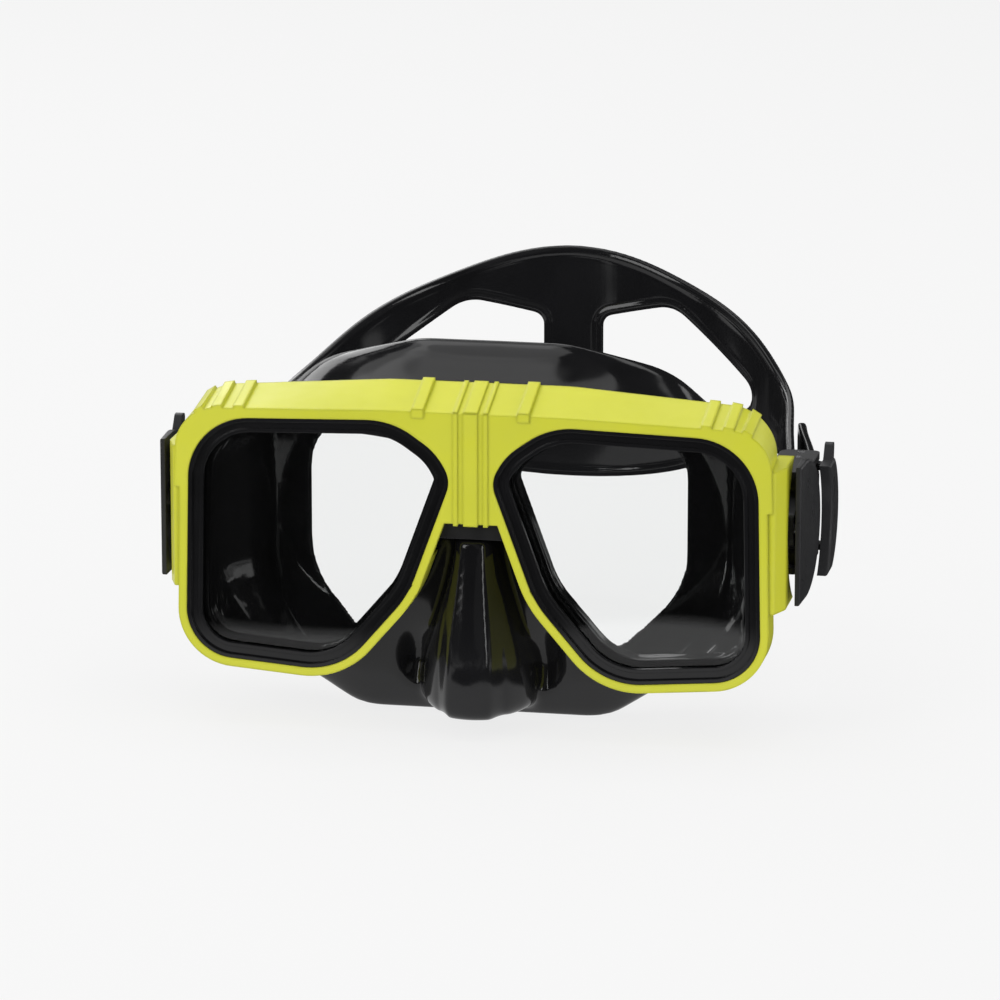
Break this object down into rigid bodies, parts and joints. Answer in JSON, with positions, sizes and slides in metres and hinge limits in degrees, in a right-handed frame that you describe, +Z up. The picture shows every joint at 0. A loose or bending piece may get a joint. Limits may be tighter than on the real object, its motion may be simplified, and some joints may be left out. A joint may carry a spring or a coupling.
{
  "type": "snorkel mask",
  "caption": "Two-lens diving mask with a hard front frame, soft face skirt with nose pocket, and a head strap held in swivelling side buckles with sprung release levers.",
  "frame": {"origin": "middle of the face seal, at the height of the buckle pivots and midway between the temples", "axes": "+X to the wearer's left, -Y out of the lenses, +Y into the face, +Z up"},
  "size_m": [0.1798, 0.1572, 0.1002],
  "materials": {
    "yellow_shell": "semi-gloss moulded, lemon yellow",
    "tempered_glass": "clear polished",
    "black_silicone": "glossy",
    "strap_silicone": "glossy",
    "bezel_black": "polished",
    "buckle_black": "satin moulded",
    "frame_black": "fine satin",
    "roller_black": "satin, grooved",
    "pin_steel": "stainless",
    "spring_steel": "stainless wire"
  },
  "bodies": {
    "mask": {"front_frame": "yellow_shell", "clamp_frame": "frame_black", "bezel_left": "bezel_black", "bezel_right": "bezel_black", "lens_left": "tempered_glass", "lens_right": "tempered_glass", "skirt": "black_silicone", "hinge_cover_left": "buckle_black", "hinge_cover_right": "buckle_black", "pivot_pin_left": "pin_steel", "pivot_pin_right": "pin_steel"},
    "strap_carrier": {"buckle_left": "buckle_black", "roller_pin_left": "pin_steel", "lever_pin_left": "pin_steel", "lever_spring_left": "spring_steel", "strap": "strap_silicone"},
    "carrier_right": {"buckle_right": "buckle_black", "roller_pin_right": "pin_steel", "lever_pin_right": "pin_steel", "lever_spring_right": "spring_steel"},
    "drum_left": {"roller_left": "roller_black"},
    "drum_right": {"roller_right": "roller_black"},
    "release_left": {"lever_left": "buckle_black"},
    "release_right": {"lever_right": "buckle_black"}
  },
  "joints": [
    {"name": "buckle_swivel_left", "type": "hinge", "parent": "mask", "child": "strap_carrier", "pos_m": [0.0814, -0.0275, 0], "axis": [1, 0, 0], "range_deg": [-20, 20]},
    {"name": "buckle_swivel_right", "type": "hinge", "parent": "mask", "child": "carrier_right", "pos_m": [-0.0814, -0.0275, 0], "axis": [1, 0, 0], "range_deg": [-20, 20]},
    {"name": "roller_spin_left", "type": "hinge", "parent": "strap_carrier", "child": "drum_left", "pos_m": [0.08, -0.0045, 0], "axis": [0, 0, 1], "continuous": true},
    {"name": "roller_spin_right", "type": "hinge", "parent": "carrier_right", "child": "drum_right", "pos_m": [-0.08, -0.0045, 0], "axis": [0, 0, 1], "continuous": true},
    {"name": "lever_press_left", "type": "hinge", "parent": "strap_carrier", "child": "release_left", "pos_m": [0.08, 0.0011, 0], "axis": [0, 0, 1], "range_deg": [0, 10], "stiffness_Nm_per_rad": 0.12, "springref_deg": -9.74},
    {"name": "lever_press_right", "type": "hinge", "parent": "carrier_right", "child": "release_right", "pos_m": [-0.08, 0.0011, 0], "axis": [0, 0, -1], "range_deg": [0, 10], "stiffness_Nm_per_rad": 0.12, "springref_deg": -9.74}
  ],
  "couplings": [
    {"joint": "buckle_swivel_right", "follows": "buckle_swivel_left", "ratio": 1}
  ]
}
